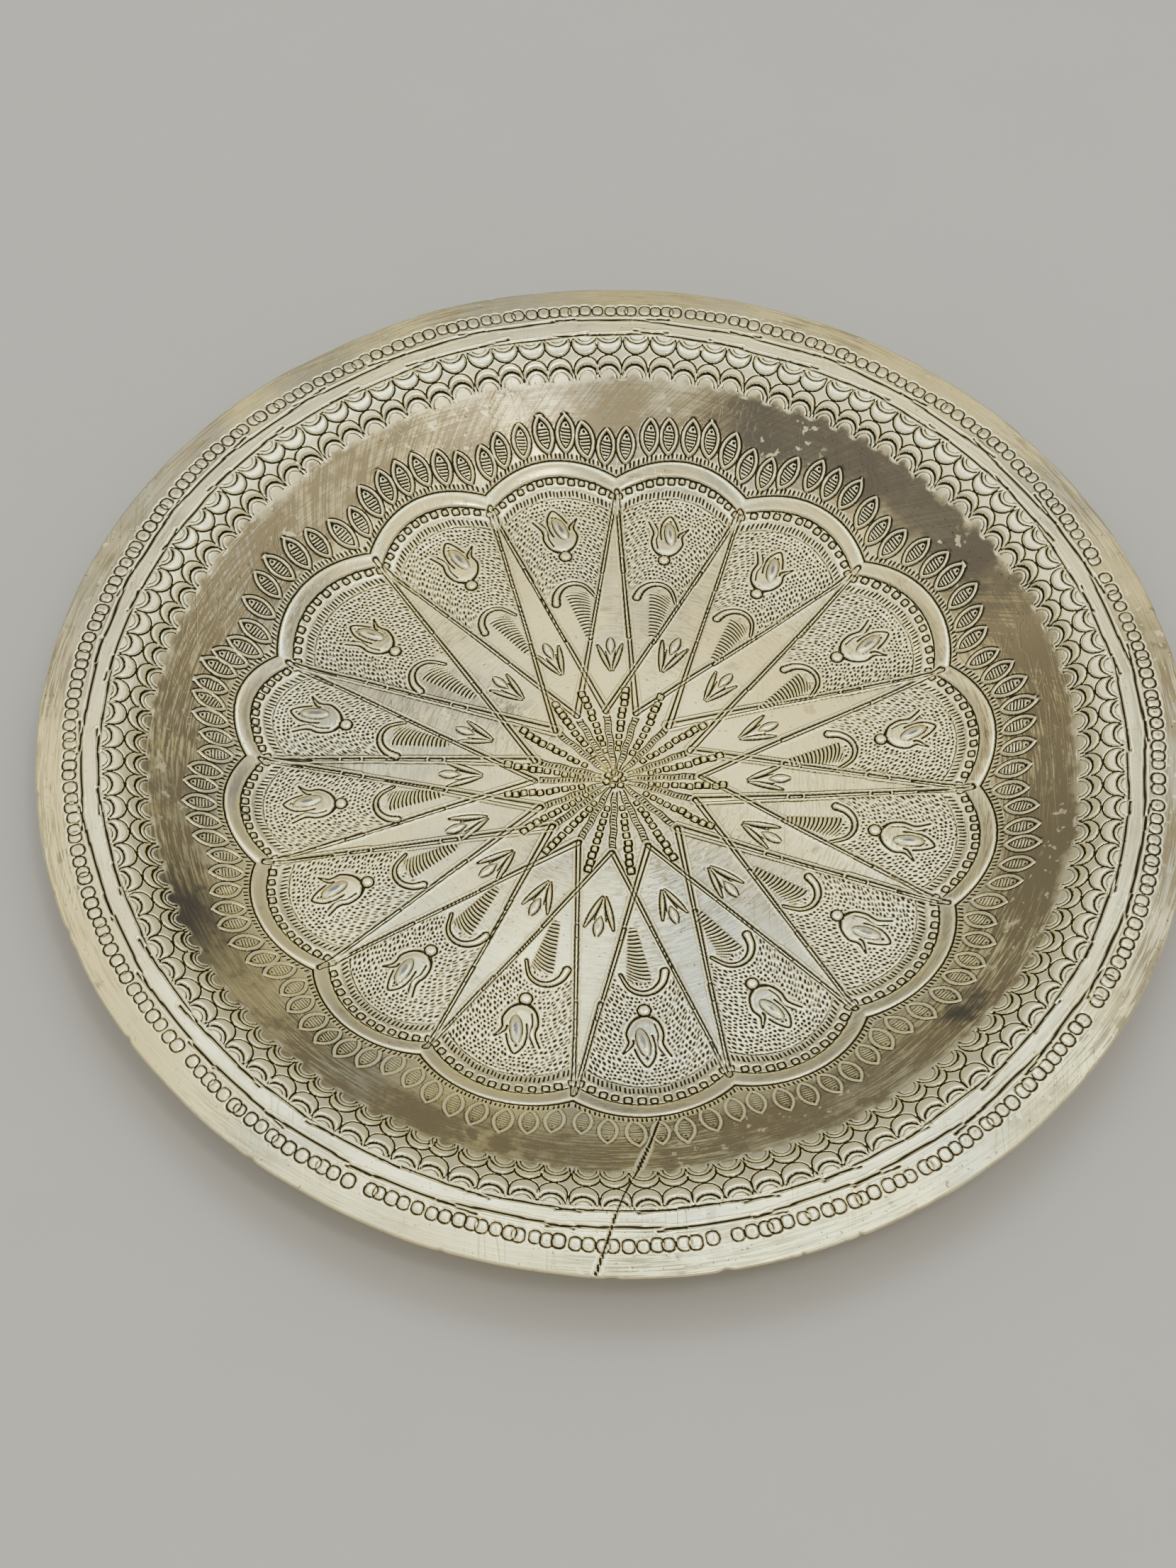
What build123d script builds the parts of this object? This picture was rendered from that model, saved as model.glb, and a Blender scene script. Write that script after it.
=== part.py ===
from build123d import *
import os

# A round brass tray, raised from one disc of sheet: a flat floor, a sloping wall and a narrow brim.
# The brim is lightly crowned and has no turned edge, wire, foot or handle.
# The model is the plain raised sheet before it is chased. The chased and punched lines are
# a few tenths of a millimetre deep and change neither its size nor how it sits.
# Millimetres, +Z up, origin at the centre of the underside.

# Driving dimensions
TRAY_DIAMETER = 230.0
SHEET_THICKNESS = 0.9
WELL_DEPTH = 14.6  # from the floor of the well up to the highest ring of the brim
FLOOR_RADIUS = 72.0  # where the floor's line would meet the wall's line
WALL_TOP_RADIUS = 98.5  # where the wall's line would meet the brim's line
CREST_RADIUS = 106.0  # the highest ring of the brim
BRIM_SLOPE = 0.35  # how far the brim still climbs from the wall to its crest
EDGE_DROP = 0.5  # how far it falls again from the crest to the cut edge

# Bends, measured on the upper face
FLOOR_BEND = 22.0
BRIM_BEND = 11.0
CREST_BEND = 60.0
EDGE_ROUND = 0.3  # the filed corners of the cut edge

# Derived dimensions
TRAY_RADIUS = TRAY_DIAMETER / 2
FLOOR_TOP = SHEET_THICKNESS
CREST_TOP = FLOOR_TOP + WELL_DEPTH
WALL_TOP = CREST_TOP - BRIM_SLOPE
EDGE_TOP = CREST_TOP - EDGE_DROP


def upper_face_points():
    """Corners of the upper face's section, from the middle of the floor out to the cut edge."""
    return [
        (0, FLOOR_TOP),
        (FLOOR_RADIUS, FLOOR_TOP),
        (WALL_TOP_RADIUS, WALL_TOP),
        (CREST_RADIUS, CREST_TOP),
        (TRAY_RADIUS, EDGE_TOP),
    ]


# The sheet keeps one thickness, so its section is the upper face's line and a line offset below it.
with BuildPart() as tray:
    with BuildSketch(Plane.XZ) as section:
        with BuildLine() as upper_and_lower_face:
            FilletPolyline(*upper_face_points(), radius=[FLOOR_BEND, BRIM_BEND, CREST_BEND])
            offset(amount=SHEET_THICKNESS, side=Side.RIGHT)
        make_face()
    revolve(axis=Axis.Z)
    circles = tray.edges().filter_by(GeomType.CIRCLE)
    edge_corners = circles.filter_by(lambda edge: edge.radius > TRAY_RADIUS - SHEET_THICKNESS)
    fillet(edge_corners, EDGE_ROUND)

tray.part.label = "tray"

os.makedirs("parts", exist_ok=True)
export_step(tray.part, "parts/tray.step")

low = tray.part.bounding_box().min
high = tray.part.bounding_box().max
print(f"tray: {high.X - low.X:.1f} x {high.Y - low.Y:.1f} x {high.Z - low.Z:.1f} mm, lowest z {low.Z:.3f}")
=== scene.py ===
import math

import bpy
import numpy as np
from mathutils import Matrix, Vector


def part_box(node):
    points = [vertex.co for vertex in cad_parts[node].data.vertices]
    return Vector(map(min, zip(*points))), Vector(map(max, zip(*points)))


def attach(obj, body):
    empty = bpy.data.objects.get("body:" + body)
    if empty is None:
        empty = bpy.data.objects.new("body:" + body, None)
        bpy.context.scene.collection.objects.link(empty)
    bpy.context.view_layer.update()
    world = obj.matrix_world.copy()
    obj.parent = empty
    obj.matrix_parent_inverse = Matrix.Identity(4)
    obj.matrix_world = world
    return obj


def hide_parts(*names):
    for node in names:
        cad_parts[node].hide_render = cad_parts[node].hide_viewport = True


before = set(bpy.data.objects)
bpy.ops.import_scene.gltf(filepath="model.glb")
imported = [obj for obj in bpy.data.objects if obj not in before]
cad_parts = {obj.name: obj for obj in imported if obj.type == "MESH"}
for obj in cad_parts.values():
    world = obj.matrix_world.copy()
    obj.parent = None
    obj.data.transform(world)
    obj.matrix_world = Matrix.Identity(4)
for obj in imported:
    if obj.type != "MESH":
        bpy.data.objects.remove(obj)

bl_info = {
    "name": "Chased brass tray",
    "version": (1, 0, 0),
    "blender": (4, 5, 0),
    "location": "View3D > Sidebar > Tray",
    "description": "Makes a hand-chased round brass tray and a plain studio around it",
    "category": "Add Mesh",
}

# ---------------------------------------------------------------------------------------------
# Sizes. Shapes are worked out in millimetres and written to the meshes in metres.
# Angles are degrees counter-clockwise from +X, seen from above.
# ---------------------------------------------------------------------------------------------
MM = 0.001
TAU = 2 * math.pi

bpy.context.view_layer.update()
TRAY_LOW, TRAY_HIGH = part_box("tray")
TRAY_RADIUS = (TRAY_HIGH[0] - TRAY_LOW[0]) / 2 / MM
UNDERSIDE = TRAY_LOW[2] / MM

# The raised sheet: where its straight runs would meet, and how far each bend reaches either side.
SHEET_THICKNESS = 0.9
WELL_DEPTH = 14.6
FLOOR_TOP = UNDERSIDE + SHEET_THICKNESS
CREST_TOP = FLOOR_TOP + WELL_DEPTH
SECTION = ((72.0, FLOOR_TOP), (98.5, CREST_TOP - 0.35), (106.0, CREST_TOP), (TRAY_RADIUS, CREST_TOP - 0.5))
BENDS = (5.2, 2.5, 3.1)

# The sixteen-pointed star, cut by hand a little off the middle of the tray.
STAR_CENTRE = (0.7, -1.1)
TIP_ANGLES = (111, 89, 67, 44, 20, -3, -25, -49, -72, -96, -120, -142, -163, -183, -202, -227)
TIP_RADIUS = 71.9
HEART_RADIUS = 16.9
HEART_LEAD = 5.3  # the inner corners run this many degrees ahead of the tips
LOBES = len(TIP_ANGLES)

# The scalloped border: its outer line swings between these two radii in every lobe.
SCALLOP_VALLEY = 74.2
SCALLOP_PEAK = 78.3

# Rings of punched work.
LEAVES_PER_LOBE = 7
CRESCENTS = 112
BELLY_RADIUS = 97.2  # where the two rows of crescents stand back to back
INNER_LINE_RADIUS = 102.7
OUTER_LINE_RADIUS = 106.2
BEADS = 280
BEAD_RADIUS = 108.5

MASKS = ("cavity", "silver")  # values that each point of the mesh carries for the material

STIPPLE_PITCH = 0.88
STIPPLE_INNER = 47.8


# ---------------------------------------------------------------------------------------------
# Settings a user can change
# ---------------------------------------------------------------------------------------------
class TraySizes(bpy.types.PropertyGroup):
    """How deep the work is and how far the hand strays."""

    relief: bpy.props.FloatProperty(
        name="Relief", description="Depth of all chased and punched work", default=1.0, min=0.0, max=2.0
    )
    mesh_step: bpy.props.FloatProperty(
        name="Mesh step", description="Coarseness of the grid, 1 is finest", default=1.0, min=1.0, max=8.0
    )
    out_of_round: bpy.props.FloatProperty(
        name="Out of round", description="How uneven the cut edge is", default=1.0, min=0.0, max=2.0
    )
    unevenness: bpy.props.FloatProperty(
        name="Unevenness",
        description="Height of the soft hollows that the hammer left in the sheet",
        default=0.00005,
        unit="LENGTH",
        precision=5,
    )


def colour(name, description, default):
    """A colour setting."""
    return bpy.props.FloatVectorProperty(
        name=name, description=description, subtype="COLOR", size=4, min=0.0, max=1.0, default=default
    )


class TrayFinish(bpy.types.PropertyGroup):
    """Colours of the metal and of what has settled on it."""

    brass: colour("Brass", "Clean metal", (0.88, 0.745, 0.35, 1.0))
    worn: colour("Worn brass", "Metal rubbed bright on raised edges", (1.0, 0.92, 0.54, 1.0))
    # The tarnish colour also paints shade on the right side of the tray.
    tarnish_and_shade: colour("Tarnish", "Browned metal", (0.27, 0.225, 0.135, 1.0))
    grime: colour("Grime", "Old polish and dirt in the cuts", (0.030, 0.0275, 0.0185, 1.0))
    patina: colour("Patina", "Metal gone dull and grey in clouds", (0.46, 0.45, 0.36, 1.0))
    # The stain colour also paints the shade on the right and lower left of the wall.
    stain_and_shade_colour: colour("Stain", "Greyed metal where liquid stood on the wall", (0.10, 0.09, 0.076, 1.0))
    silvery: colour("Burnished boss", "Metal on the pressed bosses", (0.15, 0.15, 0.145, 1.0))
    roughness: bpy.props.FloatProperty(
        name="Roughness", description="Roughness of the handled metal", default=0.24, min=0.05, max=1.0
    )


class StudioLook(bpy.types.PropertyGroup):
    """The plain floor and the soft light."""

    floor: colour("Floor", "Paint of the studio floor", (0.60, 0.58, 0.55, 1.0))
    world: bpy.props.FloatProperty(
        name="Room light", description="Strength of the light of the room", default=1.0, min=0.0
    )
    key_power: bpy.props.FloatProperty(
        name="Key light", description="Power of the window light", default=9.0, min=0.0, unit="POWER"
    )


# ---------------------------------------------------------------------------------------------
# Small shapes, as functions of distance
# ---------------------------------------------------------------------------------------------
def hollow(distance, width):
    """A rounded groove: 1 on its line, falling as a parabola to 0 half a width away."""
    return np.clip(1 - (2 * distance / width) ** 2, 0, 1)


def channel(distance, width):
    """A flat-bottomed groove: 1 on its line, falling as a fourth power to 0 half a width away."""
    return np.clip(1 - (2 * distance / width) ** 4, 0, 1)


def track(distance, width):
    """What a blunt tracer leaves: a narrow groove along each side and a shallow floor between."""
    floor = 0.4 * np.clip((0.5 * width - distance) / 0.3, 0, 1)
    return np.maximum(floor, hollow(distance - 0.5 * width + 0.22, 0.56))


def lipped(distance, width):
    """A slanting cut: deepest along its line, with a shallow shoulder on both sides."""
    return np.maximum(hollow(distance, 0.5 * width), 0.3 * hollow(distance, 1.6 * width))


def pillow(depth, shoulder):
    """A cushioned face: 0 at its outline, rising as a quarter circle over the shoulder."""
    share = np.clip(depth / shoulder, 0, 1)
    return np.sqrt(share * (2 - share))


def ease(value, low, high):
    """0 below low, 1 above high, with an S curve between."""
    share = np.clip((value - low) / (high - low), 0, 1)
    return share * share * (3 - 2 * share)


def scatter(a, b, salt):
    """A fixed random number from 0 to 1 for each pair of whole numbers: the fraction of a large sine."""
    return np.modf(np.abs(np.sin(a * 12.9898 + b * 78.233 + salt * 37.719) * 43758.5453))[0]


def to_run(u, v, start, end):
    """Distance from a straight run between two points, and the share of the way along it."""
    du, dv = end[0] - start[0], end[1] - start[1]
    share = np.clip(((u - start[0]) * du + (v - start[1]) * dv) / (du * du + dv * dv), 0, 1)
    return np.hypot(u - start[0] - share * du, v - start[1] - share * dv), share


def to_curve(u, v, points, steps=5):
    """Distance from a smooth line through the points (a Catmull-Rom spline, cut into short runs),
    and the share of the way along it."""
    ends = np.array([points[0], *points, points[-1]], float)
    t = np.arange(steps)[:, None] / steps
    pieces = []
    for a, b, c, d in zip(ends, ends[1:], ends[2:], ends[3:]):
        bend = (2 * a - 5 * b + 4 * c - d) * t**2
        twist = (3 * b - a - 3 * c + d) * t**3
        pieces.append((bend + twist + (c - a) * t) / 2 + b)
    line = np.vstack([*pieces, ends[-1:]])
    nearest = np.full(u.shape, 99.0)
    share = np.zeros(u.shape)
    for i, (start, end) in enumerate(zip(line, line[1:])):
        distance, part = to_run(u, v, start, end)
        closer = distance < nearest
        nearest = np.where(closer, distance, nearest)
        share = np.where(closer, (i + part) / (len(line) - 1), share)
    return nearest, share


# ---------------------------------------------------------------------------------------------
# The sheet: one ring of the upper face as a grid in polar coordinates
# ---------------------------------------------------------------------------------------------
class Sheet:
    """A ring of the upper face. Rows run outwards and columns run round. Spare rows on both sides let
    neighbouring rings agree on their slopes and hollows. lift is what stands proud, cut is what is
    sunk, smooth is where no stipple goes, and silver is where the punch burnished the metal."""

    def __init__(self, inner, outer, row_step, column_step):
        self.rows = max(2, round((outer - inner) / row_step))
        self.columns = 8 * round(TAU * outer / column_step / 8)
        self.row_step = (outer - inner) / self.rows
        self.column_step = TAU * outer / self.columns
        self.spare = math.ceil(1.0 / self.row_step)
        self.radii = inner + np.arange(-self.spare, self.rows + self.spare + 1) * self.row_step
        turns = np.arange(self.columns) * TAU / self.columns
        self.radius, self.turn = np.meshgrid(self.radii, turns, indexing="ij")
        self.x = self.radius * np.cos(self.turn)
        self.y = self.radius * np.sin(self.turn)
        self.lift, self.cut, self.smooth, self.silver = np.zeros((4, *self.x.shape))

    def between(self, inner, outer):
        """The slice of rows between two radii, or None."""
        inside = np.flatnonzero((self.radii >= inner) & (self.radii <= outer))
        return slice(inside[0], inside[-1] + 1) if len(inside) else None

    def block(self, inner, outer, middle, half):
        """The points between two radii and within half a turn (radians) of a middle angle, or None."""
        rows = np.flatnonzero((self.radii >= inner) & (self.radii <= outer))
        if not len(rows):
            return None
        first = math.floor((middle - half) / TAU * self.columns)
        count = min(self.columns, math.ceil(half / math.pi * self.columns) + 2)
        return np.ix_(rows, (first + np.arange(count)) % self.columns)

    def near(self, x, y, reach):
        """The points in a polar block that holds a circle, or None."""
        distance = math.hypot(x, y)
        half = math.asin(reach / distance) if distance > reach else math.pi
        return self.block(distance - reach, distance + reach, math.atan2(y, x), half)

    def work(self, block, lift=0, cut=0, smooth=0, silver=0):
        """Lays one motif over what is there: the higher lift and the deeper cut stay."""
        self.lift[block] = np.maximum(self.lift[block], lift)
        self.cut[block] = np.minimum(self.cut[block], cut)
        self.smooth[block] = np.maximum(self.smooth[block], smooth)
        self.silver[block] = np.maximum(self.silver[block], silver)

    def punch(self, motif, x, y, facing, reach, size=1.0, force=1.0):
        """Sets a motif with its own u axis along facing (radians) and its v axis to the right of it.
        The force scales how high and how deep it comes out."""
        block = self.near(x, y, reach * size)
        if block is None:
            return
        dx, dy = self.x[block] - x, self.y[block] - y
        u = (dx * math.cos(facing) + dy * math.sin(facing)) / size
        v = (dx * math.sin(facing) - dy * math.cos(facing)) / size
        lift, cut, smooth, silver = motif(u, v)
        self.work(block, force * lift, force * cut, smooth, silver)

    def stroke(self, start, end, wide, narrow, depth, profile=track, burr=0.0):
        """A straight chisel stroke from start to end that narrows and grows shallower along its way.
        The burr is the metal that it pushes up along both of its sides."""
        middle = ((start[0] + end[0]) / 2, (start[1] + end[1]) / 2)
        facing = math.atan2(middle[1], middle[0])
        turns = [math.remainder(math.atan2(y, x) - facing, TAU) for x, y in (start, end)]
        radii = [math.hypot(*point) for point in (start, end, middle)]
        margin = 2 * wide
        half = max(map(abs, turns)) + 0.02 + margin / max(min(radii), 1)
        block = self.block(min(radii) - 2 - margin, max(radii) + margin, facing, min(half, math.pi))
        if block is None:
            return
        away, share = to_run(self.x[block], self.y[block], start, end)
        width = wide + (narrow - wide) * share
        lift = burr * hollow(away - 0.7 * width, 0.5 * width)
        self.work(block, lift, -depth * np.sqrt(width / wide) * profile(away, width))


def polar(radius, degrees, centre=(0.0, 0.0)):
    """A point at a radius and angle from a centre."""
    turn = math.radians(degrees)
    return centre[0] + radius * math.cos(turn), centre[1] + radius * math.sin(turn)


# ---------------------------------------------------------------------------------------------
# Punches: each gives lift, cut, smooth and silver over its own u (outwards) and v (to the right)
# ---------------------------------------------------------------------------------------------
def crescent(thickness, height=0.28):
    """A moon punch whose belly is at u = 0 and whose horns point along +u: one circle less another.
    A second, finer arc follows its hollow side."""

    def shape(u, v):
        bite = thickness + 2.8
        to_bite = np.hypot(u - bite, v)
        outline = np.maximum(np.hypot(u - 2.75, v) - 2.75, 2.8 - to_bite)
        window = ease(2.5 - np.abs(v), 0, 0.6) * (u < bite)
        step = np.clip(1 - (2.8 - to_bite) / 0.75, 0, 1) * (to_bite < 2.8) * window
        arc = hollow(to_bite - 1.85, 0.4) * window
        lift = height * pillow(-outline, 0.6)
        cut = -0.28 * np.maximum.reduce([0.85 * hollow(outline - 0.12, 0.4), 1.1 * step, 0.6 * arc])
        return lift, cut, 0, 0

    return shape


def bead(u, v):
    """A ring punch, a little longer than wide: a ring groove round a low dome."""
    outline = (np.abs(u / 1.08) ** 2.4 + np.abs(v) ** 2.4) ** (1 / 2.4) - 1.15
    return 0.12 * pillow(-outline, 0.8), -0.22 * hollow(outline - 0.08, 0.44), 0, 0


def pearl(u, v):
    """A small round-cornered ring punch: the outline is a fourth-power oval."""
    outline = (u**4 + v**4) ** 0.25 - 0.6
    return 0.2 * pillow(-outline, 0.5), -0.3 * hollow(outline - 0.08, 0.46), np.clip(1 - outline, 0, 1), 0


def blade(u, v, start, end, width, lift, cut=0.28, silver=0.0):
    """A lens-shaped blade between two points, as wide as a sine arch, outlined by a groove."""
    away, share = to_run(u, v, start, end)
    outline = away - 0.5 * width * np.sin(math.pi * np.clip(share, 0.02, 0.98)) ** 0.7
    inside = pillow(-outline, 0.45 * width)
    silver = silver * ease(inside, 0.2, 0.8)
    return lift * inside, -cut * hollow(outline - 0.1, 0.4), ease(-outline, -0.5, 0), silver


def together(*shapes):
    """Several shapes pressed by one punch: the higher lift, the deeper cut and the larger masks."""
    lift, cut, smooth, silver = shapes[0]
    for more in shapes[1:]:
        lift, cut = np.maximum(lift, more[0]), np.minimum(cut, more[1])
        smooth, silver = np.maximum(smooth, more[2]), np.maximum(silver, more[3])
    return lift, cut, smooth, silver


def seed(u, v):
    """Two slim blades spread from one root, two finer strokes inside them and a silvery boss above."""
    inner = np.minimum(to_run(u, v, (1.4, -0.3), (5.0, -1.2))[0], to_run(u, v, (1.4, 0.3), (5.0, 1.1))[0])
    return together(
        blade(u, v, (0.0, -0.3), (6.7, -2.8), 0.85, 0.26),
        blade(u, v, (0.0, 0.3), (6.7, 2.6), 0.85, 0.26),
        blade(u, v, (4.4, 0.0), (8.6, 0.1), 1.7, 0.34, cut=0.08, silver=0.9),
        (0, -0.26 * hollow(inner, 0.5), 0, 0),
    )


def leaf(u, v):
    """A pointed oval, two equal arcs leaning together, with a raised double outline, a ladder of
    short strokes inside and two dots at its outer end."""
    bulge = 4.3 - 1.9
    outline = np.hypot(u, np.abs(v) + bulge) - 4.3
    rim = hollow(outline + 0.2, 0.8)
    lines = np.maximum(0.38 * hollow(outline - 0.25, 0.4), 0.5 * hollow(outline + 0.7, 0.34))
    rung = 0.5 - 0.5 * np.cos(TAU * (u + 0.12 * v) / 0.62)
    ladder = rung * ease(-outline, 0.85, 1.05) * ease(1.25 - u, 0, 0.3) * ease(u + 2.3, 0, 0.3)
    dots = np.maximum(hollow(np.hypot(u - 1.65, v - 0.15), 0.7), hollow(np.hypot(u - 2.35, v + 0.1), 0.55))
    return 0.36 * rim, -0.3 * np.maximum.reduce([lines, ladder, dots]), 0, 0


# The strokes of the tulip: points along u (outwards) and v (to the right).
TULIP_LEFT = ((1.2, -0.7), (2.4, -2.5), (4.8, -3.4), (7.2, -3.3), (9.8, -4.7))
TULIP_RIGHT = ((1.2, 0.7), (2.3, 2.4), (4.6, 3.5), (6.8, 3.2), (8.9, 4.3))
TULIP_INNER = ((3.0, -1.8), (5.2, -2.4), (7.4, -2.2), (9.6, -3.4))
TULIP_PETAL = ((5.4, -1.3), (7.6, -1.8), (10.0, -1.6), (11.9, -0.2), (10.3, 1.2), (8.2, 2.1))
TULIP_NOTCH = ((6.4, 2.3), (7.4, 2.5), (8.9, 4.2))


def tulip(u, v):
    """A bud: a small ring, a cup drawn by two curved strokes that flare into leaves, an open petal
    on the left and an oval boss on the right, all on a gently raised smooth ground."""
    ring = np.hypot(u, v) - 1.15
    left, left_share = to_curve(u, v, TULIP_LEFT)
    right, right_share = to_curve(u, v, TULIP_RIGHT)
    inner, _ = to_curve(u, v, TULIP_INNER)
    petal, _ = to_curve(u, v, TULIP_PETAL)
    notch, _ = to_curve(u, v, TULIP_NOTCH)
    stem = np.minimum(to_run(u, v, (0.9, -0.9), (1.8, -2.1))[0], to_run(u, v, (0.9, 0.9), (1.8, 2.0))[0])
    boss = np.hypot((u - 6.9 + 0.22 * v) / 2.8, (v - 0.45 + 0.16 * (u - 6.9)) / 1.25) - 1
    cuts = np.maximum.reduce(
        [
            hollow(ring - 0.1, 0.48),
            hollow(left, 0.62 - 0.2 * left_share),
            hollow(right, 0.62 - 0.2 * right_share),
            0.5 * hollow(inner, 0.4),
            0.9 * hollow(petal, 0.44),
            hollow(notch, 0.5),
            hollow(stem, 0.45),
        ]
    )
    cup = np.maximum(np.hypot((u - 5.2) / 4.4, v / 3.6), np.hypot((u - 7.0) / 5.4, v / 3.2) * 0.98) - 1
    ground = ease(-cup, -0.02, 0.25)
    lift = np.maximum.reduce([0.22 * pillow(-ring, 0.9), 0.1 * ground, 0.5 * pillow(-boss, 0.7)])
    outlines = np.minimum.reduce([petal, left, right])
    smooth = np.maximum.reduce([ease(-cup, -0.12, 0), ease(-ring, -0.5, 0), hollow(outlines, 1.8)])
    return lift, -0.42 * cuts, np.minimum(smooth * 2, 1), ease(-boss, 0.02, 0.22)


def hook(u, v):
    """A raised crook over the comb: thick at its left foot, over the top, thin at its right end."""
    points = ((-4.2, -4.3), (-2.0, -3.8), (-0.2, -2.2), (0.3, 0.1), (-0.8, 2.3), (-3.6, 3.9))
    away, share = to_curve(u, v, points)
    outline = away - 0.5 * (1.3 - 1.1 * share)
    lift = 0.24 * pillow(-outline, 0.5) * (1 - 0.6 * share)
    return lift, -0.36 * hollow(outline - 0.14, 0.46), ease(-outline, -1.1, -0.5), 0


def comb(u, v):
    """A feather of short bowed strokes across the axis, one under another, that narrows inwards."""
    down = np.clip(-u / 11.5, 0, 1)
    left = -2.2 + 2.2 * down
    right = 2.8 - 1.1 * down
    sides = ease(v - left, -0.1, 0.35) * ease(right - v, -0.1, 0.5)
    window = sides * ease(-u, -0.1, 0.4) * ease(u + 11.7, 0, 0.6)
    bow = 0.16 * (v - left) ** 2 * (1 - 0.6 * down) - 0.25 * v
    stroke = np.abs(np.sin(math.pi * (u + bow) / 0.9))
    return 0.2 * stroke * window, -0.36 * (1 - stroke) * window, ease(window, 0.0, 0.3), 0


# ---------------------------------------------------------------------------------------------
# Where the work goes
# ---------------------------------------------------------------------------------------------
def star_points():
    """Tips of the star and its inner corners, each strayed a little by hand."""
    stray = np.random.default_rng(11).uniform(-1, 1, (LOBES, 3))
    tips = [polar(TIP_RADIUS + 1.1 * s[0], angle) for angle, s in zip(TIP_ANGLES, stray)]
    hearts = [
        polar(HEART_RADIUS + 0.7 * s[1], angle + HEART_LEAD + 2.2 * s[2], STAR_CENTRE)
        for angle, s in zip(TIP_ANGLES, stray)
    ]
    return tips, hearts


TIPS, HEARTS = star_points()
MID_ANGLES = [(a + b) / 2 for a, b in zip(TIP_ANGLES, (*TIP_ANGLES[1:], TIP_ANGLES[0] - 360))]


def between_points(a, b, share):
    """The point a share of the way from a to b."""
    return a[0] + (b[0] - a[0]) * share, a[1] + (b[1] - a[1]) * share


# Strokes along a side of the star: where each starts and stops, as shares of the side, and its widths.
STAR_STROKES = ((0.0, 0.38, 1.35, 0.95), (0.34, 0.7, 1.05, 0.85), (0.64, 1.0, 1.1, 0.8))
STAR_DEPTH = 0.38
PLAIN_BURR = 0.09


def chase_star(sheet):
    """Sixteen long points. Each side is three overlapping strokes that taper outwards from an inner
    corner, met by a short one from the tip. Strokes that run crosswise were struck more lightly and
    threw up a brighter burr. Ground inside a point stays smooth."""
    stray = np.random.default_rng(12).uniform(-1, 1, (LOBES, 2, 6))
    for k, tip in enumerate(TIPS):
        corners = [HEARTS[k - 1], HEARTS[(k + 1) % LOBES]]
        block = sheet.block(14, 76, math.radians(TIP_ANGLES[k]), 0.5)
        if block is not None:
            x, y = sheet.x[block], sheet.y[block]
            sides = []
            for corner, way in zip(corners, (-1, 1)):
                across = (x - tip[0]) * (corner[1] - tip[1]) - (y - tip[1]) * (corner[0] - tip[0])
                sides.append(way * across / math.dist(tip, corner))
            sheet.work(block, smooth=ease(np.minimum(*sides), -0.5, 0.1) * (sheet.radius[block] < 74))
        for corner, s in zip(corners, stray[k]):
            crosswise = abs(tip[0] - corner[0]) > 0.94 * math.dist(tip, corner)
            bite, burr = (0.5, 0.3) if crosswise else (1.0, PLAIN_BURR)
            for n, (first, last, wide, narrow) in enumerate(STAR_STROKES):
                start = between_points(corner, tip, first)
                end = between_points(corner, tip, last)
                shift = 0.16 * s[n]
                start = (start[0] + shift, start[1] - shift)
                depth = bite * (STAR_DEPTH + 0.08 * s[(2 * n + 1) % 6])
                sheet.stroke(start, end, wide + 0.2 * s[5 - n], narrow, depth, burr=burr)
            end = between_points(tip, corner, 0.2 + 0.05 * s[4])
            start = (tip[0] + 0.25 * s[5], tip[1] + 0.25 * s[3])
            end = (end[0] + 0.25 * s[3], end[1] + 0.25 * s[3])
            sheet.stroke(start, end, 1.3, 0.8, STAR_DEPTH, burr=PLAIN_BURR)


def chase_seeds(sheet):
    """One seed motif in each point of the star."""
    stray = np.random.default_rng(13).uniform(-1, 1, (LOBES, 4))
    for angle, s in zip(TIP_ANGLES, stray):
        x, y = polar(27.2 + 0.8 * s[0], angle + 1.5 + 1.0 * s[1], STAR_CENTRE)
        facing = math.radians(angle + 1.5 + 6 * s[2])
        sheet.punch(seed, x, y, facing, 8.5, 1.0 + 0.06 * s[3])


def chase_panels(sheet):
    """A tulip, a hook and a comb on the middle line of each panel."""
    stray = np.random.default_rng(14).uniform(-1, 1, (LOBES, 8))
    for angle, s in zip(MID_ANGLES, stray):
        x, y = polar(54.6 + 0.8 * s[0], angle + 0.4 * s[1])
        facing = math.radians(angle + 7 * s[2])
        sheet.punch(tulip, x, y, facing, 13.5, 1.0 + 0.05 * s[3], force=1.0 + 0.15 * s[4])
        x, y = polar(48.6 + 0.5 * s[4], angle + 0.4 * s[5], STAR_CENTRE)
        facing = math.radians(angle - 2 + 4 * s[6])
        sheet.punch(hook, x, y, facing, 7.0, 1.0 + 0.06 * s[7])
        x, y = polar(46.4 + 0.4 * s[4], angle + 0.4 * s[5], STAR_CENTRE)
        sheet.punch(comb, x, y, math.radians(angle + 3 * s[6]), 13.5, 1.0 + 0.04 * s[7])


def scallop_line(share):
    """Radius of the border's outer line at a place across a lobe, from -1 to 1: a parabola."""
    return SCALLOP_VALLEY + (SCALLOP_PEAK - SCALLOP_VALLEY) * (1 - share**2)


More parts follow.
